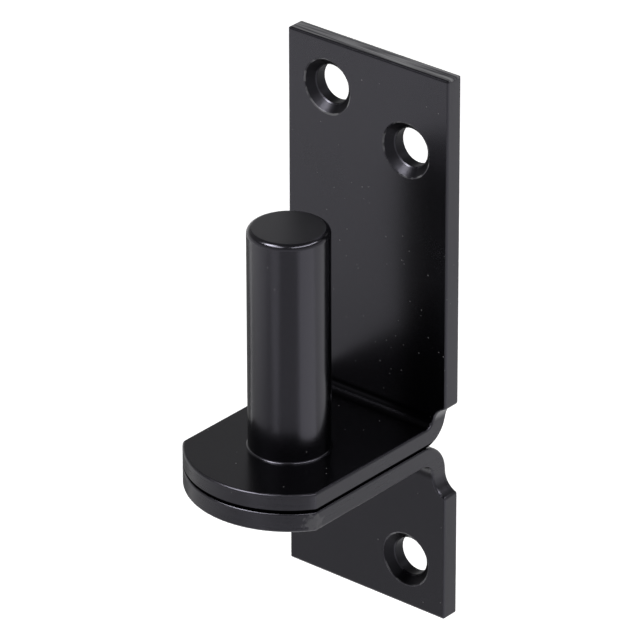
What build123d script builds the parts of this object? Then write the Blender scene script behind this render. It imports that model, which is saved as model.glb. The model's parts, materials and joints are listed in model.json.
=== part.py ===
from build123d import *
import os

# Gate hinge pin: two folded brackets whose ledges lie on each other, and a turned pin that
# is riveted through both ledges. Sizes are in millimetres. The origin is on the pin's axis,
# at the top face of the upper ledge. +Z runs up along the pin, +Y points into the wall and
# +X is to the right of someone facing the wall.

# Sheet that both brackets are folded from
sheet = 4.0
edge_break = 0.3
upper_bend_radius = 2.0
lower_bend_radius = 3.0

# Wall plates, measured up and down from the top face of the upper ledge
plate_width = 39.0
upper_plate_top = 73.5
lower_plate_bottom = 41.5
wall_distance = 26.9

# Ledges, with a shallow round nose about the pin's axis
ledge_width = 33.2
nose_radius = 20.4

# Round reliefs where a ledge's side runs out into its wider wall plate. Their centres are
# measured from the plane in which the two ledges meet.
relief_radius = 4.0
upper_relief_height = 4.6
lower_relief_height = 6.9

# Countersunk screw holes
screw_hole_diameter = 7.8
countersink_diameter = 11.2
countersink_angle = 90.0
upper_left_hole = (-9.8, 63.8)
upper_right_hole = (9.5, 56.4)
lower_right_hole = (9.9, -31.4)

# Pin
pin_diameter = 16.0
pin_height = 46.0
pin_edge_round = 1.2
shoulder_seat_depth = 0.3
shoulder_seat_clearance = 0.1
spigot_diameter = 12.0
spigot_clearance = 0.1
rivet_head_diameter = 15.0
rivet_head_height = 1.8

ledge_joint_z = -sheet
wall_front = wall_distance - sheet


def folded_sheet(plate_reach, bend_radius):
    """L of sheet with a round bend: the ledge lies on Z = 0 and the wall plate rises."""
    with BuildPart() as folded:
        with BuildSketch(Plane.YZ) as side_view:
            with BuildLine() as outline:
                Polyline(
                    (wall_distance, 0),
                    (-nose_radius, 0),
                    (-nose_radius, sheet),
                    (wall_front, sheet),
                    (wall_front, plate_reach),
                    (wall_distance, plate_reach),
                    close=True,
                )
            make_face()
            inner_corner = side_view.vertices().sort_by_distance((wall_front, sheet))[0]
            fillet(inner_corner, bend_radius)
            outer_corner = side_view.vertices().sort_by_distance((wall_distance, 0))[0]
            fillet(outer_corner, bend_radius + sheet)
        extrude(amount=plate_width / 2, both=True)
    return folded.part


def bracket_blank(plate_reach, bend_radius, relief_height):
    """Folded sheet with its round nose and the reliefs beside the bend."""
    with BuildPart() as blank:
        add(folded_sheet(plate_reach, bend_radius))
        with BuildSketch(Plane.XY) as ledge_plan:
            Circle(nose_radius)
            with Locations((0, wall_distance / 2)):
                Rectangle(plate_width, wall_distance)
        extrude(amount=plate_reach, mode=Mode.INTERSECT)
        with BuildSketch(Plane.XZ) as side_cuts:
            cut_width = plate_width / 2 + relief_radius
            for side in (-1, 1):
                with Locations((side * (ledge_width + cut_width) / 2, relief_height / 2)):
                    Rectangle(cut_width, relief_height)
                with Locations((side * (ledge_width / 2 + relief_radius), relief_height)):
                    Circle(relief_radius)
        extrude(amount=wall_distance + nose_radius, both=True, mode=Mode.SUBTRACT)
        chamfer(blank.edges(), edge_break)
    return blank.part


def drilled_bracket(blank, screw_holes):
    """Bracket with its countersunk screw holes and the hole for the pin's spigot."""
    wall_face = Plane(origin=(0, wall_front, 0), x_dir=(1, 0, 0), z_dir=(0, -1, 0))
    with BuildPart() as bracket:
        add(blank)
        with Locations(wall_face):
            with Locations(*screw_holes):
                CounterSinkHole(
                    screw_hole_diameter / 2,
                    countersink_diameter / 2,
                    depth=sheet,
                    counter_sink_angle=countersink_angle,
                )
        with Locations((0, 0, ledge_joint_z)):
            Cylinder(
                spigot_diameter / 2 + spigot_clearance,
                4 * sheet,
                mode=Mode.SUBTRACT,
            )
    return bracket.part


def upper_bracket():
    """Bracket with the tall wall plate; the pin's shoulder is let into its ledge."""
    blank = bracket_blank(upper_plate_top + sheet, upper_bend_radius, upper_relief_height)
    placed = Pos(0, 0, ledge_joint_z) * blank
    shoulder_seat = Cylinder(
        pin_diameter / 2 + shoulder_seat_clearance,
        2 * shoulder_seat_depth,
    )
    return drilled_bracket(placed, [upper_left_hole, upper_right_hole]) - shoulder_seat


def lower_bracket():
    """Bracket with the short wall plate; its ledge lies under the upper one."""
    blank = bracket_blank(lower_plate_bottom - sheet, lower_bend_radius, lower_relief_height)
    placed = Pos(0, 0, ledge_joint_z) * mirror(blank, about=Plane.XY)
    return drilled_bracket(placed, [lower_right_hole])


def hinge_pin():
    """Turned pin: a shoulder let into the upper ledge, a spigot riveted under the lower one."""
    shank_radius = pin_diameter / 2
    spigot_radius = spigot_diameter / 2
    underside = -2 * sheet
    with BuildPart() as pin:
        with BuildSketch(Plane.XZ) as half_section:
            with BuildLine():
                profile = Polyline(
                    (0, pin_height),
                    (shank_radius, pin_height),
                    (shank_radius, 0),
                    (shank_radius - shoulder_seat_depth, -shoulder_seat_depth),
                    (spigot_radius, -shoulder_seat_depth),
                    (spigot_radius, underside),
                    (rivet_head_diameter / 2, underside),
                )
                head_arc = TangentArc(
                    (0, underside - rivet_head_height),
                    profile @ 1,
                    tangent=(1, 0),
                )
                Line(head_arc @ 0, profile @ 0)
            make_face()
            top_corner = half_section.vertices().sort_by_distance((shank_radius, pin_height))[0]
            fillet(top_corner, pin_edge_round)
        revolve(axis=Axis.Z)
    return pin.part


pieces = {
    "upper_bracket": upper_bracket(),
    "lower_bracket": lower_bracket(),
    "hinge_pin": hinge_pin(),
}
os.makedirs("parts", exist_ok=True)
for name, piece in pieces.items():
    export_step(piece, f"parts/{name}.step")
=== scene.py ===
import json
import math

import bmesh
import bpy
from bpy.props import FloatProperty, FloatVectorProperty, IntProperty, PointerProperty
from mathutils import Matrix, Vector


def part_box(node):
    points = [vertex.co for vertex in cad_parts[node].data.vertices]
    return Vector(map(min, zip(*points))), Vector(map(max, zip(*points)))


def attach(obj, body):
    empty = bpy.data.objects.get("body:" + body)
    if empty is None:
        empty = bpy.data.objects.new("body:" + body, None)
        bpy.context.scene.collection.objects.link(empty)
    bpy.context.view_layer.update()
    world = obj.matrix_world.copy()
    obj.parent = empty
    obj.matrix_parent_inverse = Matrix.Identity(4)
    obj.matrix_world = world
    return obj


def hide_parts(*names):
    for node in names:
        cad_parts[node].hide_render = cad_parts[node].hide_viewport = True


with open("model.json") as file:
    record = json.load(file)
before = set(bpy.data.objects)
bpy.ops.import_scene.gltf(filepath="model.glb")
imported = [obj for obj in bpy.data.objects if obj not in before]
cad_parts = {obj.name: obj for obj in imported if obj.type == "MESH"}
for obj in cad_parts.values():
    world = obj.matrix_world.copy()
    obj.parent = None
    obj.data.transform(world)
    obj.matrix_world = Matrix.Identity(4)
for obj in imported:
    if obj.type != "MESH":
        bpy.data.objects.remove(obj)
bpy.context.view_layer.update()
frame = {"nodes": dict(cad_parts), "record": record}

bl_info = {
    "name": "Gate hinge pin",
    "version": (1, 0, 0),
    "blender": (4, 5, 0),
    "location": "3D View > Sidebar > Hinge pin",
    "description": "Dresses the packed gate hinge pin and sets up its studio",
    "category": "Object",
}

MM = 0.001

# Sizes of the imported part
PIN_LOW, PIN_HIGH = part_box("hinge_pin")
UPPER_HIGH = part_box("upper_bracket")[1]
LOWER_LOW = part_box("lower_bracket")[0]
SHEET = 4 * MM
LEDGE_JOINT = -SHEET
LEDGE_UNDERSIDE = -2 * SHEET
PLATE_BACK = UPPER_HIGH.y
PLATE_FRONT = PLATE_BACK - SHEET
UPPER_BEND = 2 * MM
LOWER_BEND = 3 * MM
SCREW_HOLES = [
    Vector(mount["pos_m"]) for mount in frame["record"]["mounts"] if mount["kind"] == "bore"
]

# How the meshes are read and merged
WELD_DISTANCE = 1e-6
PROFILE_WELD = 0.002 * MM
FLAT_ANGLE = math.radians(0.3)
SHARP_ANGLE = math.radians(28)
PIN_SHARP_ANGLE = math.radians(35)
HOLE_REACH = 6.5 * MM
RIM_DEPTH = 0.1 * MM
BEAD_DEPTH = 0.02 * MM
ROUND_POINTS = 12

# Coating: noise scales, and the shares by which each pattern changes the coat
CLOUD_SCALE, CLOUD_ROUGHNESS = 45.0, 0.1
PEEL_SCALE = 900.0
GRAIN_SCALE, GRAIN_ROUGHNESS, GRAIN_HEIGHT = 4200.0, 0.04, 0.08
DUST_SCALE, DUST_SIZE, DUST_ROUGHNESS = 700.0, 0.085, 0.3
DUST_ON_PIN, DUST_ON_SHEET, DUST_LOW_ON_PLATE = 0.05, 0.1, 0.55
PLATE_STREAKS, LEDGE_STREAKS = (90.0, 2600.0, 70.0), (90.0, 90.0, 2600.0)
STREAK_ROUGHNESS, STREAK_HEIGHT = 0.15, 0.5
END_ROUGHNESS = 0.22
CORNER_SCALE, CORNER_WEAR, CORNER_ROUGHNESS, CORNER_HEIGHT = 1100.0, 0.36, 0.25, 4.0
RIM_SCALE, RIM_WEAR_AND_HIGHLIGHT = 420.0, 0.62
# Painted shade: shares of dull black mixed into the screw holes (which are also rougher there),
# the insides of the bends and the plate's front top edge.
CONE_SHADE, BORE_SHADE, SHADE_ROUGHNESS = 0.6, 0.55, 0.15
UPPER_BEND_SHADE, LOWER_BEND_SHADE = 0.85, 0.4
END_LINE_SHADE = 0.6
COAT_IOR = 1.5
COAT_TINT = (0.87, 0.845, 1.0, 1.0)

# Stage: directions in degrees, azimuth from the front towards the right; sizes in metres
WHITE = (1.0, 1.0, 1.0, 1.0)
FLOOR_HALF = 3.0
CARD_LIFT = 0.01
LAMP_AIM = Vector((0.0, 0.0, 0.02))
LAMP_DISTANCE = 1.0
UPPER_CARD_DISTANCE = 1.06
CAMERA_TARGET = Vector((-2.402, 11.9, 21.031)) * MM
# Brightness of the room in reflections, by height
ROOM_STOPS = [(0.0, 1.0), (0.12, 1.0), (0.35, 0.33), (1.0, 0.2)]
# Name, azimuth, elevation, width, height, share of the softbox radiance
SOFTBOXES = (
    ("front_softbox", -20, 52, 0.6, 0.32, 0.5),
    ("back_softbox", 120, 47, 0.5, 0.16, 0.6),
)
# Name, azimuth, reach from the part, size across, size along, brightness
FLOOR_CARDS = (
    ("camera_side_card", 40, 0.56, 0.48, 0.5, 0.7),
    ("near_left_card", -44, 0.34, 0.62, 0.28, 0.6),
    ("middle_left_card", -44, 0.51, 0.62, 0.06, 0.95),
    ("far_left_card", -44, 0.66, 0.8, 0.24, 1.36),
    ("right_card", 90, 0.58, 0.44, 0.5, 1.75),
    ("right_side_card", 140, 0.385, 0.3, 0.13, 0.72),
    ("rear_card", -140, 0.6, 0.85, 0.6, 0.2),
)
# Name, azimuth, elevation, size across, size along, share of the bright cards' brightness
UPPER_CARDS = (
    ("left_bright_card", -31, 56, 0.34, 0.46, 1.1),
    ("front_bright_card", 11, 52, 0.2, 0.22, 0.6),
    ("right_bright_card", 79, 52, 0.66, 0.22, 0.75),
)


# Node graphs


class Wire:
    """A node's output socket that can stand in a Python expression on values."""

    def __init__(self, graph, socket):
        self.graph = graph
        self.socket = socket

    def __add__(self, other):
        return self.graph.maths("ADD", self, other)

    __radd__ = __add__

    def __sub__(self, other):
        return self.graph.maths("SUBTRACT", self, other)

    def __rsub__(self, other):
        return self.graph.maths("SUBTRACT", other, self)

    def __mul__(self, other):
        return self.graph.maths("MULTIPLY", self, other)

    __rmul__ = __mul__

    def __truediv__(self, other):
        return self.graph.maths("DIVIDE", self, other)

    def __mod__(self, other):
        return self.graph.maths("FLOORED_MODULO", self, other)

    def __neg__(self):
        return self.graph.maths("MULTIPLY", self, -1.0)

    def __gt__(self, other):
        return self.graph.maths("GREATER_THAN", self, other)

    def __lt__(self, other):
        return self.graph.maths("LESS_THAN", self, other)

    def root(self):
        return self.graph.maths("SQRT", self)

    def size(self):
        return self.graph.maths("ABSOLUTE", self)

    def floor(self):
        return self.graph.maths("FLOOR", self)

    def cosine(self):
        return self.graph.maths("COSINE", self)

    def sine(self):
        return self.graph.maths("SINE", self)

    def larger(self, other):
        return self.graph.maths("MAXIMUM", self, other)

    def step(self, low, high):
        """0 below low, 1 above high and a smooth rise between them."""
        return self.graph.add(
            "ShaderNodeMapRange",
            {"interpolation_type": "SMOOTHSTEP"},
            {"Value": self, "From Min": low, "From Max": high, "To Min": 0.0, "To Max": 1.0},
        )

    def other(self, name):
        """Another output of the same node."""
        return Wire(self.graph, self.socket.node.outputs[name])


class Graph:
    """Adds nodes to a tree: one method for every type of node."""

    def __init__(self, tree):
        self.tree = tree
        tree.nodes.clear()

    def add(self, kind, settings=None, sockets=None, output=0):
        node = self.tree.nodes.new(kind)
        for name, value in (settings or {}).items():
            if name == "stops":
                self.set_stops(node.color_ramp, value)
            elif name == "items":
                while len(node.index_switch_items) < value:
                    node.index_switch_items.new()
            else:
                setattr(node, name, value)
        for key, value in (sockets or {}).items():
            if isinstance(value, Wire):
                self.tree.links.new(value.socket, node.inputs[key])
            else:
                node.inputs[key].default_value = value
        return Wire(self, node.outputs[output]) if node.outputs else None

    @staticmethod
    def set_stops(ramp, stops):
        while len(ramp.elements) < len(stops):
            ramp.elements.new(1.0)
        for element, (position, level) in zip(ramp.elements, stops):
            element.position = position
            element.color = (level, level, level, 1.0)

    def maths(self, operation, *operands):
        return self.add("ShaderNodeMath", {"operation": operation}, dict(enumerate(operands)))

    def split(self, vector):
        """X, Y and Z of a vector."""
        across = self.add("ShaderNodeSeparateXYZ", None, {"Vector": vector}, "X")
        return across, across.other("Y"), across.other("Z")

    def mix_colour(self, factor, first, second):
        factor_input, first_input, second_input, colour_output = 0, 6, 7, 2
        return self.add(
            "ShaderNodeMix",
            {"data_type": "RGBA"},
            {factor_input: factor, first_input: first, second_input: second},
            colour_output,
        )

    def noise(self, place, scale, detail=2.0):
        return self.add(
            "ShaderNodeTexNoise", None, {"Vector": place, "Scale": scale, "Detail": detail}
        )

    def stretch(self, place, scale):
        return self.add(
            "ShaderNodeMapping", {"vector_type": "POINT"}, {"Vector": place, "Scale": scale}
        )


def opaque(colour):
    """Colour with a full alpha, as a colour socket takes it."""
    return (*colour, 1.0)


def reach(off_first, off_second):
    """Distance that two offsets at right angles make."""
    return (off_first * off_first + off_second * off_second).root()


# Sizes and colours that a user would change


class BracketSettings(bpy.types.PropertyGroup):
    """Softness of the brackets' edges."""

    edge_softening: FloatProperty(
        name="Edge softening",
        description="Width of the small rounds on both sides of each broken edge",
        default=0.2 * MM, min=0.05 * MM, max=0.25 * MM, precision=5, unit="LENGTH",
    )
    hole_softening: FloatProperty(
        name="Hole edge softening",
        description="Width of the small rounds on the inner edges of the screw holes",
        default=0.06 * MM, min=0.01 * MM, max=0.2 * MM, precision=5, unit="LENGTH",
    )
    edge_segments: IntProperty(
        name="Edge segments",
        description="Faces across each small round",
        default=3, min=1, max=6,
    )


class PinSettings(bpy.types.PropertyGroup):
    """Sizes of the turned pin."""

    shank_radius: FloatProperty(
        name="Shank radius",
        description="Radius of the part that the gate's eye turns on",
        default=PIN_HIGH.x, min=4 * MM, max=20 * MM, precision=5, unit="LENGTH",
    )
    height: FloatProperty(
        name="Height",
        description="Height of the pin above the upper ledge",
        default=PIN_HIGH.z, min=10 * MM, max=90 * MM, precision=5, unit="LENGTH",
    )
    top_round: FloatProperty(
        name="Top round",
        description="Radius of the round on the pin's top edge",
        default=1.2 * MM, min=0.1 * MM, max=4 * MM, precision=5, unit="LENGTH",
    )
    coat_bead: FloatProperty(
        name="Coat bead",
        description="Size of the bead of coating where the pin meets the ledge",
        default=0.4 * MM, min=0.05 * MM, max=1 * MM, precision=5, unit="LENGTH",
    )
    seat_depth: FloatProperty(
        name="Seat depth",
        description="Depth to which the shoulder is let into the ledge",
        default=0.3 * MM, min=0.05 * MM, max=1 * MM, precision=5, unit="LENGTH",
    )
    spigot_radius: FloatProperty(
        name="Spigot radius",
        description="Radius of the spigot in the two ledges",
        default=6 * MM, min=2 * MM, max=12 * MM, precision=5, unit="LENGTH",
    )
    rivet_radius: FloatProperty(
        name="Rivet radius",
        description="Radius of the rivet head under the lower ledge",
        default=7.5 * MM, min=3 * MM, max=15 * MM, precision=5, unit="LENGTH",
    )
    rivet_height: FloatProperty(
        name="Rivet height",
        description="Height of the rivet head",
        default=1.8 * MM, min=0.5 * MM, max=5 * MM, precision=5, unit="LENGTH",
    )
    segments: IntProperty(
        name="Segments",
        description="Faces round the pin",
        default=128, min=24, max=256,
    )


class CoatSettings(bpy.types.PropertyGroup):
    """Colours and roughness of the black coating."""

    colour: FloatVectorProperty(
        name="Coat colour",
        description="Colour of the black coating",
        default=(0.0007, 0.0007, 0.001), size=3, min=0.0, max=1.0, subtype="COLOR",
    )
    dust_colour: FloatVectorProperty(
        name="Dust colour",
        description="Colour of the few specks of dust",
        default=(0.15, 0.15, 0.15), size=3, min=0.0, max=1.0, subtype="COLOR",
    )
    edge_colour: FloatVectorProperty(
        name="Cut edge colour",
        description="Colour of the thinner coating on the sheared edges",
        default=(0.006, 0.006, 0.0065), size=3, min=0.0, max=1.0, subtype="COLOR",
    )
    # Also used as painted light on the plate ends and, with the rims' wear, as a painted
    # highlight on the countersink rims.
    end_colour: FloatVectorProperty(
        name="Worn colour",
        description="Colour of the worn coating on plate ends, hole rims and the nose corner",
        default=(0.18, 0.18, 0.182), size=3, min=0.0, max=1.0, subtype="COLOR",
    )
    turned_end_colour: FloatVectorProperty(
        name="Turned end colour",
        description="Colour of the thinner coating on the pin's flat top",
        default=(0.013, 0.013, 0.014), size=3, min=0.0, max=1.0, subtype="COLOR",
    )
    roughness: FloatProperty(
        name="Roughness",
        description="Roughness of the coating on the ledges and the pin",
        default=0.2, min=0.0, max=1.0, subtype="FACTOR",
    )
    upper_plate_roughness: FloatProperty(
        name="Upper plate roughness",
        description="Roughness that the tall wall plate has on top of the coating's own",
        default=0.06, min=0.0, max=1.0, subtype="FACTOR",
    )
    edge_roughness: FloatProperty(
        name="Cut edge roughness",
        description="Roughness that the sheared edges have on top of the coating's own",
        default=0.1, min=0.0, max=1.0, subtype="FACTOR",
    )
    turned_end_roughness: FloatProperty(
        name="Turned end roughness",
        description="Roughness that the pin's flat top has on top of the coating's own",
        default=0.14, min=0.0, max=1.0, subtype="FACTOR",
    )
    peel: FloatProperty(
        name="Peel depth",
        description="Depth of the fine unevenness in the coating",
        default=0.003 * MM, min=0.0, max=0.1 * MM, precision=6, unit="LENGTH",
    )


class StageSettings(bpy.types.PropertyGroup):
    """Floor, light and camera of the studio."""

    floor_drop: FloatProperty(
        name="Floor drop",
        description="Height of the part's origin above the floor",
        default=0.25, min=0.05, max=2.0, unit="LENGTH",
    )
    floor_colour: FloatVectorProperty(
        name="Floor colour",
        description="Colour of the pale floor",
        default=(0.85, 0.85, 0.85), size=3, min=0.0, max=1.0, subtype="COLOR",
    )
    floor_glow: FloatProperty(
        name="Floor glow",
        description="White that the camera sees on top of the floor's own light",
        default=0.75, min=0.0, max=1.0,
    )
    floor_reflected: FloatProperty(
        name="Floor in reflections",
        description="White that reflections see on top of the floor's own light",
        default=0.75, min=0.0, max=1.0,
    )
    ambient: FloatProperty(
        name="Ambient",
        description="Strength of the even light from the room",
        default=0.2, min=0.0, max=2.0,
    )
    softbox_radiance: FloatProperty(
        name="Softbox radiance",
        description="Brightness of the soft lamps' faces",
        default=21.0, min=0.0, max=40.0,
    )
    bright_card: FloatProperty(
        name="Bright cards",
        description="Brightness of the upper cards that edges show as thin highlights",
        default=15.0, min=0.0, max=40.0,
    )
    camera_azimuth: FloatProperty(
        name="Camera azimuth",
        description="Direction of the camera, from the front towards the right",
        default=math.radians(40.108), subtype="ANGLE", unit="ROTATION",
    )
    camera_elevation: FloatProperty(
        name="Camera elevation",
        description="Angle of the camera above the horizon",
        default=math.radians(27.188), subtype="ANGLE", unit="ROTATION",
    )
    camera_roll: FloatProperty(
        name="Camera roll",
        description="Turn of the camera about its own axis",
        default=math.radians(-0.120), subtype="ANGLE", unit="ROTATION",
    )
    camera_distance: FloatProperty(
        name="Camera distance",
        description="Distance of the camera from its target",
        default=1.2, min=0.2, max=10.0, unit="LENGTH",
    )
    lens: FloatProperty(
        name="Lens",
        description="Focal length of the camera in millimetres on a 36 mm sensor",
        default=355.13, min=20.0, max=1000.0,
    )


# Patterns in the coating, with painted light and shade


def cut_edge_streaks(graph, place):
    """Fine streaks along the sheared edges, which change across the sheet's thickness."""
    along_plate = graph.noise(graph.stretch(place, PLATE_STREAKS), 1.0, 4.0)
    along_ledge = graph.noise(graph.stretch(place, LEDGE_STREAKS), 1.0, 4.0)
    _, _, height = graph.split(place)
    in_plate = (height > SHEET) + (height < LEDGE_UNDERSIDE - SHEET)
    return in_plate * along_plate + (1 - in_plate) * along_ledge


def dust_share(graph, place):
    """Share of the possible specks that are there: most lie low on the tall plate."""
    _, _, height = graph.split(place)
    low_on_plate = height.step(2 * MM, 8 * MM) * (1 - height.step(38 * MM, 55 * MM))
    return DUST_ON_SHEET + DUST_LOW_ON_PLATE * low_on_plate


def nose_corner_patch(graph, place):
    """Rough, lighter patch where the lower ledge's nose was sheared to its right corner."""
    centre = (16.4 * MM, -12.2 * MM, -6.3 * MM)
    patch_reach = 5.5 * MM
    apart = graph.add(
        "ShaderNodeVectorMath", {"operation": "DISTANCE"}, {0: place, 1: centre}, "Value"
    )
    ragged = graph.noise(place, CORNER_SCALE, 4.0)
    return (ragged - apart / patch_reach).step(0.05, 0.3)


def ledge_seam_shade(graph, place):
    """Painted shade in the joint between the two ledges: a band of dull black standing in for
    the shadow in the gap, where the coat doesn't catch the light.
    """
    seam_height, full, faded = LEDGE_JOINT + 0.38 * MM, 0.35 * MM, 0.48 * MM
    _, _, height = graph.split(place)
    return 1 - (height - seam_height).size().step(full, faded)


def inner_bend_shade(graph, place):
    """Painted shade on the insides of the two bends: dull black mixed in."""
    fade = 0.9 * MM
    _, depth, height = graph.split(place)
    inside = 0.0
    for ledge_face, bend, shade_share in (
        (0.0, UPPER_BEND, UPPER_BEND_SHADE),
        (LEDGE_UNDERSIDE, LOWER_BEND, LOWER_BEND_SHADE),
    ):
        off_corner = reach(depth - PLATE_FRONT, height - ledge_face)
        inside = inside + shade_share * (1 - off_corner.step(bend, bend + fade))
    return inside


def end_front_shade(graph, place):
    """Painted shade along the rounded front edge of the tall plate's sheared end: a band of
    dull black.
    """
    _, depth, height = graph.split(place)
    near_top = height.step(UPPER_HIGH.z - 0.5 * MM, UPPER_HIGH.z - 0.25 * MM)
    near_front = 1 - depth.step(PLATE_FRONT + 0.25 * MM, PLATE_FRONT + 0.6 * MM)
    return near_top * near_front


def screw_hole_reaches(graph, place):
    """Depth of each point of a plate, and its distance from the axis of each screw hole."""
    across, depth, height = graph.split(place)
    return depth, [reach(across - bore.x, height - bore.z) for bore in SCREW_HOLES]


def screw_hole_shade(graph, place):
    """Painted shade inside the screw holes, on the countersinks and the bores: dull black mixed
    in.
    """
    cone_front, cone_back = PLATE_FRONT + 0.08 * MM, PLATE_FRONT + 1.45 * MM
    cone_reach, bore_reach = 5.7 * MM, 3.93 * MM
    depth, reaches = screw_hole_reaches(graph, place)
    on_cone = (depth > cone_front) * (depth < cone_back)
    shade = 0.0
    for off_axis in reaches:
        shade = shade + CONE_SHADE * on_cone * (off_axis < cone_reach)
        shade = shade + BORE_SHADE * (off_axis < bore_reach)
    return shade


def rim_wear_and_highlight(graph, place):
    """Front rims of the countersinks, coloured lighter in broken patches: worn coating, and a
    painted highlight standing in for the rims' glint.
    """
    rim_inside, rim_outside, rim_back = 5.42 * MM, 5.76 * MM, PLATE_FRONT + 0.24 * MM
    depth, reaches = screw_hole_reaches(graph, place)
    rims = 0.0
    for off_axis in reaches:
        rims = rims + (off_axis > rim_inside) * (off_axis < rim_outside)
    worn = graph.noise(place, RIM_SCALE).step(0.42, 0.6)
    return rims * worn * (depth < rim_back)


# Materials


def plain_coat(graph, place, coat, share):
    """Colour, roughness and height of the coating with fine peel and some specks of dust."""
    cloud = graph.noise(place, CLOUD_SCALE, 3.0)
    peel = graph.noise(place, PEEL_SCALE)
    grain = graph.noise(place, GRAIN_SCALE)
    speck = graph.add(
        "ShaderNodeTexVoronoi", None, {"Vector": place, "Scale": DUST_SCALE}, "Distance"
    )
    chosen = graph.add(
        "ShaderNodeSeparateColor", None, {"Color": speck.other("Color")}, "Red"
    )
    dust = (speck < DUST_SIZE) * (chosen < share)
    colour = graph.mix_colour(dust, opaque(coat.colour), opaque(coat.dust_colour))
    roughness = coat.roughness + CLOUD_ROUGHNESS * (cloud - 0.5)
    roughness = roughness + GRAIN_ROUGHNESS * (grain - 0.5) + DUST_ROUGHNESS * dust
    return colour, roughness, peel + GRAIN_HEIGHT * grain


def coat_shader(graph, coat, colour, roughness, height):
    """Glossy black coating whose height is in units of the peel's depth."""
    bump = graph.add(
        "ShaderNodeBump", None, {"Strength": 1.0, "Distance": coat.peel, "Height": height}
    )
    return graph.add(
        "ShaderNodeBsdfPrincipled",
        None,
        {
            "Base Color": colour,
            "Roughness": roughness,
            "IOR": COAT_IOR,
            "Specular Tint": COAT_TINT,
            "Normal": bump,
        },
    )


def turned_coat(graph, place, coat):
    """The pin's coating, which is thinner and rougher on the flat top."""
    colour, roughness, height = plain_coat(graph, place, coat, DUST_ON_PIN)
    _, _, level = graph.split(place)
    faced = level.step(PIN_HIGH.z - 0.05 * MM, PIN_HIGH.z - 0.01 * MM)
    colour = graph.mix_colour(faced, colour, opaque(coat.turned_end_colour))
    roughness = roughness + coat.turned_end_roughness * faced
    return coat_shader(graph, coat, colour, roughness, height)


def sheet_coat(graph, place, coat):
    """The brackets' coating with its sheared edges and worn places, painted light on the plate
    ends and hole rims, and painted shade in the holes, bends, ledge seam and front top edge.
    """
    share = dust_share(graph, place)
    colour, roughness, height = plain_coat(graph, place, coat, share)
    worn_and_lit_colour = opaque(coat.end_colour)

    edge = graph.add("ShaderNodeAttribute", {"attribute_name": "cut_edge"}, output="Fac")
    streaks = cut_edge_streaks(graph, place)
    colour = graph.mix_colour(edge * streaks, colour, opaque(coat.edge_colour))
    roughness = roughness + edge * (coat.edge_roughness + STREAK_ROUGHNESS * (streaks - 0.5))
    height = height + STREAK_HEIGHT * edge * streaks

    _, depth, level = graph.split(place)
    roughness = roughness + coat.upper_plate_roughness * level.step(12 * MM, 40 * MM)

    # Painted light: the up-facing plate end is coloured lighter, with streaks, to stand in for
    # the light it catches from above; it is also rougher.
    end = graph.add("ShaderNodeAttribute", {"attribute_name": "plate_end"}, output="Fac")
    end = end * depth.step(PLATE_FRONT + 0.4 * MM, PLATE_FRONT + 0.75 * MM)
    colour = graph.mix_colour(end * streaks.step(0.3, 0.7), colour, worn_and_lit_colour)
    roughness = roughness + END_ROUGHNESS * end

    corner = nose_corner_patch(graph, place)
    colour = graph.mix_colour(CORNER_WEAR * corner, colour, worn_and_lit_colour)
    roughness = roughness + CORNER_ROUGHNESS * corner
    height = height + CORNER_HEIGHT * corner

    # Worn coating and painted highlight on the countersink rims.
    rims = rim_wear_and_highlight(graph, place)
    colour = graph.mix_colour(RIM_WEAR_AND_HIGHLIGHT * rims, colour, worn_and_lit_colour)
    shade = screw_hole_shade(graph, place) * (1 - rims)
    roughness = roughness + SHADE_ROUGHNESS * shade

    glossy = coat_shader(graph, coat, colour, roughness, height)
    # Painted shade: dull black mixed in by the summed shares of painted shade.
    shade_black = graph.add("ShaderNodeBsdfDiffuse", None, {"Color": opaque(coat.colour)})
    bends = inner_bend_shade(graph, place) * (1 - edge)
    painted_shade = shade + ledge_seam_shade(graph, place) + bends
    painted_shade = painted_shade + END_LINE_SHADE * end_front_shade(graph, place)
    return graph.add("ShaderNodeMixShader", None, {0: painted_shade, 1: glossy, 2: shade_black})


def coat_material(name, coat, build_shader):
    """Satin black coating, placed by each piece's own coordinates."""
    material = bpy.data.materials.new(name)
    material.use_nodes = True
    graph = Graph(material.node_tree)
    place = graph.add("ShaderNodeTexCoord", output="Object")
    shader = build_shader(graph, place, coat)
    graph.add("ShaderNodeOutputMaterial", None, {"Surface": shader})
    return material


def floor_material(stage):
    """Pale floor that the camera and reflections see as white, with the shadow kept."""
    material = bpy.data.materials.new("pale_floor")
    material.use_nodes = True
    graph = Graph(material.node_tree)
    diffuse = graph.add("ShaderNodeBsdfDiffuse", None, {"Color": opaque(stage.floor_colour)})
    path = graph.add("ShaderNodeLightPath", output="Is Camera Ray")
    reflected = path.other("Is Glossy Ray") + path.other("Is Transmission Ray")
    strength = path * stage.floor_glow + reflected * stage.floor_reflected
    glow = graph.add("ShaderNodeEmission", None, {"Strength": strength})
    both = graph.add("ShaderNodeAddShader", None, {0: diffuse, 1: glow})
    graph.add("ShaderNodeOutputMaterial", None, {"Surface": both})
    return material


# Pieces


def bake_modifiers(piece):
    """Puts the result of a piece's modifiers into its own mesh."""
    graph = bpy.context.evaluated_depsgraph_get()
    finished = bpy.data.meshes.new_from_object(
        piece.evaluated_get(graph), preserve_all_data_layers=True, depsgraph=graph
    )
    piece.modifiers.clear()
    piece.data = finished
    finished.name = piece.name


def weigh_normals(piece):
    """Shades broad faces flat up to the small rounds beside them."""
    weigh = piece.modifiers.new("weighted_normals", "WEIGHTED_NORMAL")
    weigh.keep_sharp = True


def is_plate_end(centre, normal):
    """Whether a face is on the sheared end of a wall plate, which gets painted light: a lighter
    colour for the light it catches from above.
    """
    beyond_plates = centre.z > UPPER_HIGH.z - MM or centre.z < LOWER_LOW.z + MM
    return beyond_plates and abs(normal.z) > 0.3


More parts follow.
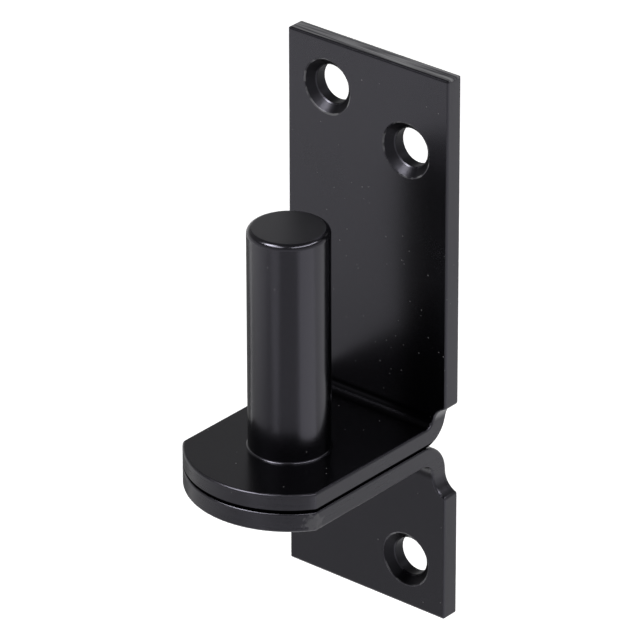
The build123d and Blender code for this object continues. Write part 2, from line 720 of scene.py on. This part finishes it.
def is_cut_face(centre, normal):
    """Whether a face of a bracket is on a sheared edge, not on the sheet's broad sides."""
    on_nose = centre.y < -10 * MM and abs(normal.z) < 0.8
    return abs(normal.x) > 0.3 or is_plate_end(centre, normal) or on_nose


def is_at_screw_hole(place):
    """Whether a point of a wall plate lies at one of the screw holes."""
    if place.y < PLATE_FRONT - 0.5 * MM:
        return False
    return any(
        math.hypot(place.x - bore.x, place.z - bore.z) < HOLE_REACH for bore in SCREW_HOLES
    )


def weigh_edges(mesh, settings):
    """Says how much each sharp edge is softened: less inside the screw holes."""
    inside_share = settings.hole_softening / settings.edge_softening
    work = bmesh.new()
    work.from_mesh(mesh)
    weight = work.edges.layers.float.new("bevel_weight_edge")
    for edge in work.edges:
        if edge.calc_face_angle(0.0) < SHARP_ANGLE:
            continue
        inside_hole = all(
            is_at_screw_hole(vert.co) and vert.co.y > PLATE_FRONT + RIM_DEPTH
            for vert in edge.verts
        )
        edge[weight] = inside_share if inside_hole else 1.0
    work.to_mesh(mesh)
    work.free()


def merged_copy(name, node):
    """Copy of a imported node's mesh with its flat faces merged."""
    work = bmesh.new()
    work.from_mesh(frame["nodes"][node].data)
    bmesh.ops.remove_doubles(work, verts=work.verts, dist=WELD_DISTANCE)
    bmesh.ops.dissolve_limit(
        work, angle_limit=FLAT_ANGLE, verts=work.verts, edges=work.edges
    )
    work.verts.index_update()
    mesh = bpy.data.meshes.new(name)
    mesh.from_pydata(
        [vert.co.copy() for vert in work.verts],
        [],
        [[vert.index for vert in face.verts] for face in work.faces],
    )
    work.free()
    return mesh


def build_bracket(name, node, settings, material):
    """Merged copy of a folded bracket with softened edges and marked sheared faces."""
    mesh = merged_copy(name, node)
    for mark, is_marked in (("cut_edge", is_cut_face), ("plate_end", is_plate_end)):
        marks = mesh.attributes.new(mark, "FLOAT", "FACE")
        for face, value in zip(mesh.polygons, marks.data):
            value.value = float(is_marked(face.center, face.normal))
    weigh_edges(mesh, settings)
    mesh.shade_smooth()
    piece = bpy.data.objects.new(name, mesh)
    bpy.context.scene.collection.objects.link(piece)
    soften = piece.modifiers.new("soft_edges", "BEVEL")
    soften.width = settings.edge_softening
    soften.segments = settings.edge_segments
    soften.limit_method = "WEIGHT"
    soften.use_clamp_overlap = False
    weigh_normals(piece)
    bake_modifiers(piece)
    piece.data.materials.append(material)
    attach(piece, "root")
    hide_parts(node)


def name_pin_sizes(tree):
    """Gives the pin's node group its geometry, size and material sockets."""
    interface = tree.interface
    interface.new_socket("Geometry", in_out="OUTPUT", socket_type="NodeSocketGeometry")
    interface.new_socket("Geometry", in_out="INPUT", socket_type="NodeSocketGeometry")
    for name in (
        "Shank Radius", "Height", "Top Round", "Coat Bead", "Seat Depth", "Spigot Radius",
        "Underside Drop", "Rivet Radius", "Rivet Height",
    ):
        size = interface.new_socket(name, in_out="INPUT", socket_type="NodeSocketFloat")
        size.subtype = "DISTANCE"
        size.min_value = 0.0
    count = interface.new_socket("Segments", in_out="INPUT", socket_type="NodeSocketInt")
    count.min_value = 3
    interface.new_socket("Material", in_out="INPUT", socket_type="NodeSocketMaterial")


def half_section(graph, given, index):
    """Outline of half the pin, from the top of its axis to the foot, with rounded corners."""
    shank = given.other("Shank Radius")
    top = given.other("Height")
    bead = given.other("Coat Bead")
    seat = given.other("Seat Depth")
    spigot = given.other("Spigot Radius")
    drop = given.other("Underside Drop")
    rivet = given.other("Rivet Radius")
    rise = given.other("Rivet Height")

    cap_reach = (rivet * rivet + rise * rise) / (2 * rivet)
    cap_radius = (rivet * rivet + rise * rise) / (2 * rise)
    corners = [
        (0.0, top, 0.0),
        (shank, top, given.other("Top Round")),
        (shank, 0.0, bead),
        (shank + bead, 0.0, 0.0),
        (shank + bead, -BEAD_DEPTH, 0.0),
        (shank, -BEAD_DEPTH, 0.0),
        (shank - seat, -seat, 0.0),
        (spigot, -seat, 0.0),
        (spigot, -drop, 0.0),
        (rivet, -drop, 0.0),
        (cap_reach, -(drop + rise), cap_radius),
        (0.0, -(drop + rise), 0.0),
    ]
    points = {0: index}
    rounds = {0: index}
    for number, (across, height, fillet) in enumerate(corners, start=1):
        points[number] = graph.add("ShaderNodeCombineXYZ", None, {"X": across, "Z": height})
        rounds[number] = fillet
    place = graph.add(
        "GeometryNodeIndexSwitch", {"data_type": "VECTOR", "items": len(corners)}, points
    )
    radius = graph.add(
        "GeometryNodeIndexSwitch", {"data_type": "FLOAT", "items": len(corners)}, rounds
    )
    line = graph.add("GeometryNodeMeshLine", None, {"Count": len(corners)})
    line = graph.add("GeometryNodeSetPosition", None, {"Geometry": line, "Position": place})
    kept = graph.add(
        "GeometryNodeStoreNamedAttribute",
        {"data_type": "FLOAT", "domain": "POINT"},
        {"Geometry": line, "Name": "corner_round", "Value": radius},
    )
    curve = graph.add("GeometryNodeMeshToCurve", None, {"Mesh": kept})
    stored = graph.add(
        "GeometryNodeInputNamedAttribute", {"data_type": "FLOAT"}, {"Name": "corner_round"}
    )
    curve = graph.add(
        "GeometryNodeFilletCurve",
        {"mode": "POLY"},
        {"Curve": curve, "Radius": stored, "Count": ROUND_POINTS},
    )
    profile = graph.add("GeometryNodeCurveToMesh", None, {"Curve": curve})
    return graph.add(
        "GeometryNodeMergeByDistance", None, {"Geometry": profile, "Distance": PROFILE_WELD}
    )


def revolve(graph, profile, index, segments):
    """Grid whose rows follow a profile in the XZ plane and whose columns go round Z."""
    rows = graph.add(
        "GeometryNodeAttributeDomainSize", {"component": "MESH"}, {"Geometry": profile}
    )
    sheet = graph.add(
        "GeometryNodeMeshGrid",
        None,
        {"Size X": 1.0, "Size Y": 1.0, "Vertices X": segments + 1, "Vertices Y": rows},
    )
    sampled = graph.add(
        "GeometryNodeSampleIndex",
        {"data_type": "FLOAT_VECTOR", "domain": "POINT"},
        {
            "Geometry": profile,
            "Value": graph.add("GeometryNodeInputPosition"),
            "Index": index % rows,
        },
    )
    across, _, height = graph.split(sampled)
    turn = (index / rows).floor() * (2 * math.pi) / segments
    around = graph.add(
        "ShaderNodeCombineXYZ",
        None,
        {"X": across * turn.cosine(), "Y": across * turn.sine(), "Z": height},
    )
    body = graph.add(
        "GeometryNodeSetPosition", None, {"Geometry": sheet, "Position": around}
    )
    return graph.add(
        "GeometryNodeMergeByDistance", None, {"Geometry": body, "Distance": PROFILE_WELD}
    )


def pin_tree():
    """Node group that turns the pin from its named sizes."""
    tree = bpy.data.node_groups.new("turned_pin", "GeometryNodeTree")
    name_pin_sizes(tree)
    graph = Graph(tree)
    given = graph.add("NodeGroupInput")
    index = graph.add("GeometryNodeInputIndex")
    profile = half_section(graph, given, index)
    body = revolve(graph, profile, index, given.other("Segments"))
    body = graph.add("GeometryNodeRealizeInstances", None, {"Geometry": body})
    body = graph.add(
        "GeometryNodeSetMaterial", None, {"Geometry": body, "Material": given.other("Material")}
    )
    graph.add("NodeGroupOutput", None, {"Geometry": body})
    return tree


def set_input(modifier, name, value):
    """Sets a Geometry Nodes input by its socket's identifier."""
    for item in modifier.node_group.interface.items_tree:
        if item.item_type == "SOCKET" and item.in_out == "INPUT" and item.name == name:
            modifier[item.identifier] = value
            return
    raise KeyError(name)


def build_pin(settings, material):
    """Turned pin with its coat bead, spigot and rivet head in one closed mesh."""
    piece = bpy.data.objects.new("turned_pin", bpy.data.meshes.new("turned_pin"))
    bpy.context.scene.collection.objects.link(piece)
    turned = piece.modifiers.new("turned", "NODES")
    turned.node_group = pin_tree()
    for name, value in {
        "Shank Radius": settings.shank_radius,
        "Height": settings.height,
        "Top Round": settings.top_round,
        "Coat Bead": settings.coat_bead,
        "Seat Depth": settings.seat_depth,
        "Spigot Radius": settings.spigot_radius,
        "Underside Drop": -PIN_LOW.z - settings.rivet_height,
        "Rivet Radius": settings.rivet_radius,
        "Rivet Height": settings.rivet_height,
        "Segments": settings.segments,
        "Material": material,
    }.items():
        set_input(turned, name, value)
    bake_modifiers(piece)
    work = bmesh.new()
    work.from_mesh(piece.data)
    bmesh.ops.remove_doubles(work, verts=work.verts, dist=WELD_DISTANCE)
    bmesh.ops.recalc_face_normals(work, faces=work.faces)
    work.to_mesh(piece.data)
    work.free()
    piece.data.shade_smooth()
    piece.data.set_sharp_from_angle(angle=PIN_SHARP_ANGLE)
    weigh_normals(piece)
    bake_modifiers(piece)
    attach(piece, "root")
    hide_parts("hinge_pin")


# Stage


def direction(azimuth, elevation):
    """Unit vector: azimuth from the front towards the right, elevation above the horizon."""
    a, e = math.radians(azimuth), math.radians(elevation)
    return Vector((math.sin(a) * math.cos(e), -math.cos(a) * math.cos(e), math.sin(e)))


def add_softbox(name, azimuth, elevation, width, height, radiance):
    """Rectangular lamp that faces the part, as bright as asked wherever it stands."""
    lamp = bpy.data.lights.new(name, "AREA")
    lamp.shape = "RECTANGLE"
    lamp.size = width
    lamp.size_y = height
    lamp.energy = radiance * math.pi * width * height
    softbox = bpy.data.objects.new(name, lamp)
    away = direction(azimuth, elevation)
    softbox.location = LAMP_AIM + away * LAMP_DISTANCE
    softbox.rotation_mode = "QUATERNION"
    softbox.rotation_quaternion = away.to_track_quat("Z", "Y")
    softbox.visible_camera = False
    bpy.context.scene.collection.objects.link(softbox)


def add_card(name, centre, across, along, level):
    """Plain card that only reflections see, with its two sides given as vectors."""
    material = bpy.data.materials.new(name)
    material.use_nodes = True
    graph = Graph(material.node_tree)
    grey = graph.add("ShaderNodeEmission", None, {"Strength": level})
    graph.add("ShaderNodeOutputMaterial", None, {"Surface": grey})
    corners = [
        centre + along * u / 2 + across * v / 2
        for u, v in ((-1, -1), (1, -1), (1, 1), (-1, 1))
    ]
    mesh = bpy.data.meshes.new(name)
    mesh.from_pydata(corners, [], [(0, 1, 2, 3)])
    mesh.materials.append(material)
    card = bpy.data.objects.new(name, mesh)
    bpy.context.scene.collection.objects.link(card)
    card.visible_camera = False
    card.visible_diffuse = False
    card.visible_shadow = False
    card.visible_transmission = False


def build_cards(stage):
    """Patches of the floor, and bright ones above, that shape the coating's reflections."""
    lifted = Vector((0, 0, CARD_LIFT - stage.floor_drop))
    for name, azimuth, distance, across, along, level in FLOOR_CARDS:
        out = direction(azimuth, 0)
        side = Vector((-out.y, out.x, 0.0))
        add_card(name, out * distance + lifted, side * across, out * along, level)
    for name, azimuth, elevation, across, along, share in UPPER_CARDS:
        away = direction(azimuth, elevation)
        side = direction(azimuth + 90, 0)
        add_card(
            name, away * UPPER_CARD_DISTANCE, side * across, away.cross(side) * along,
            stage.bright_card * share,
        )


def build_world(stage):
    """White background for the camera, and a room that is dimmer overhead in reflections."""
    world = bpy.data.worlds.new("studio_room")
    world.use_nodes = True
    bpy.context.scene.world = world
    graph = Graph(world.node_tree)
    _, _, upward = graph.split(graph.add("ShaderNodeTexCoord", output="Generated"))
    dimmed = graph.add("ShaderNodeValToRGB", {"stops": ROOM_STOPS}, {"Fac": upward})
    path = graph.add("ShaderNodeLightPath", output="Is Camera Ray")
    seen = path.larger(path.other("Is Transmission Ray"))
    reflected = graph.add("ShaderNodeBackground", None, {"Color": dimmed, "Strength": 1.0})
    ambient = graph.add(
        "ShaderNodeBackground", None, {"Color": WHITE, "Strength": stage.ambient}
    )
    white = graph.add("ShaderNodeBackground", None, {"Color": WHITE, "Strength": 1.0})
    glossy = path.other("Is Glossy Ray")
    light = graph.add("ShaderNodeMixShader", None, {0: glossy, 1: ambient, 2: reflected})
    surface = graph.add("ShaderNodeMixShader", None, {0: seen, 1: light, 2: white})
    graph.add("ShaderNodeOutputWorld", None, {"Surface": surface})


def build_floor(stage):
    """Plain pale floor well below the part."""
    level = -stage.floor_drop
    mesh = bpy.data.meshes.new("floor")
    mesh.from_pydata(
        [
            (u * FLOOR_HALF, v * FLOOR_HALF, level)
            for u, v in ((-1, -1), (1, -1), (1, 1), (-1, 1))
        ],
        [],
        [(0, 1, 2, 3)],
    )
    floor = bpy.data.objects.new("floor", mesh)
    bpy.context.scene.collection.objects.link(floor)
    mesh.materials.append(floor_material(stage))


def build_camera(stage):
    """Camera at the photo's viewing angle."""
    data = bpy.data.cameras.new("camera")
    data.lens = stage.lens
    data.sensor_width = 36.0
    data.clip_start, data.clip_end = 0.05, 20.0
    camera = bpy.data.objects.new("camera", data)
    bpy.context.scene.collection.objects.link(camera)
    azimuth, elevation = stage.camera_azimuth, stage.camera_elevation
    back = direction(math.degrees(azimuth), math.degrees(elevation))
    right = Vector((math.cos(azimuth), math.sin(azimuth), 0.0))
    up = back.cross(right)
    roll = stage.camera_roll
    turned_right = math.cos(roll) * right + math.sin(roll) * up
    turned_up = -math.sin(roll) * right + math.cos(roll) * up
    axes = Matrix((turned_right, turned_up, back)).transposed()
    moved = Matrix.Translation(CAMERA_TARGET + back * stage.camera_distance)
    camera.matrix_world = moved @ axes.to_4x4()
    bpy.context.scene.camera = camera


# Operators


class HINGEPIN_OT_brackets(bpy.types.Operator):
    """Build both folded brackets"""

    bl_idname = "hinge_pin.brackets"
    bl_label = "Folded brackets"

    def execute(self, context):
        scene = context.scene
        material = coat_material("plate_coat", scene.hinge_pin_coat, sheet_coat)
        for name, node in (
            ("folded_upper_bracket", "upper_bracket"),
            ("folded_lower_bracket", "lower_bracket"),
        ):
            build_bracket(name, node, scene.hinge_pin_brackets, material)
        return {"FINISHED"}


class HINGEPIN_OT_pin(bpy.types.Operator):
    """Build the turned pin"""

    bl_idname = "hinge_pin.pin"
    bl_label = "Turned pin"

    def execute(self, context):
        scene = context.scene
        material = coat_material("pin_coat", scene.hinge_pin_coat, turned_coat)
        build_pin(scene.hinge_pin_pin, material)
        return {"FINISHED"}


class HINGEPIN_OT_stage(bpy.types.Operator):
    """Set up the floor, the room, the soft lamps and the camera"""

    bl_idname = "hinge_pin.stage"
    bl_label = "Studio"

    def execute(self, context):
        stage = context.scene.hinge_pin_stage
        build_floor(stage)
        build_cards(stage)
        build_world(stage)
        for name, azimuth, elevation, width, height, share in SOFTBOXES:
            radiance = stage.softbox_radiance * share
            add_softbox(name, azimuth, elevation, width, height, radiance)
        build_camera(stage)
        context.scene.view_settings.view_transform = "Standard"
        return {"FINISHED"}


class HINGEPIN_PT_sidebar(bpy.types.Panel):
    """Settings and buttons of the gate hinge pin"""

    bl_idname = "HINGEPIN_PT_sidebar"
    bl_label = "Gate hinge pin"
    bl_space_type = "VIEW_3D"
    bl_region_type = "UI"
    bl_category = "Hinge pin"

    def draw(self, context):
        for group, operator in (
            ("hinge_pin_brackets", "hinge_pin.brackets"),
            ("hinge_pin_pin", "hinge_pin.pin"),
            ("hinge_pin_coat", None),
            ("hinge_pin_stage", "hinge_pin.stage"),
        ):
            box = self.layout.box()
            settings = getattr(context.scene, group)
            for name in settings.__annotations__:
                box.prop(settings, name)
            if operator:
                box.operator(operator)


SETTINGS = {
    "hinge_pin_brackets": BracketSettings,
    "hinge_pin_pin": PinSettings,
    "hinge_pin_coat": CoatSettings,
    "hinge_pin_stage": StageSettings,
}
CLASSES = (
    *SETTINGS.values(),
    HINGEPIN_OT_brackets,
    HINGEPIN_OT_pin,
    HINGEPIN_OT_stage,
    HINGEPIN_PT_sidebar,
)


def register():
    for kind in CLASSES:
        bpy.utils.register_class(kind)
    for name, kind in SETTINGS.items():
        setattr(bpy.types.Scene, name, PointerProperty(type=kind))


def unregister():
    for name in SETTINGS:
        delattr(bpy.types.Scene, name)
    for kind in reversed(CLASSES):
        bpy.utils.unregister_class(kind)


def main():
    register()
    bpy.ops.hinge_pin.brackets()
    bpy.ops.hinge_pin.pin()
    bpy.ops.hinge_pin.stage()


if __name__ == "__main__":
    main()
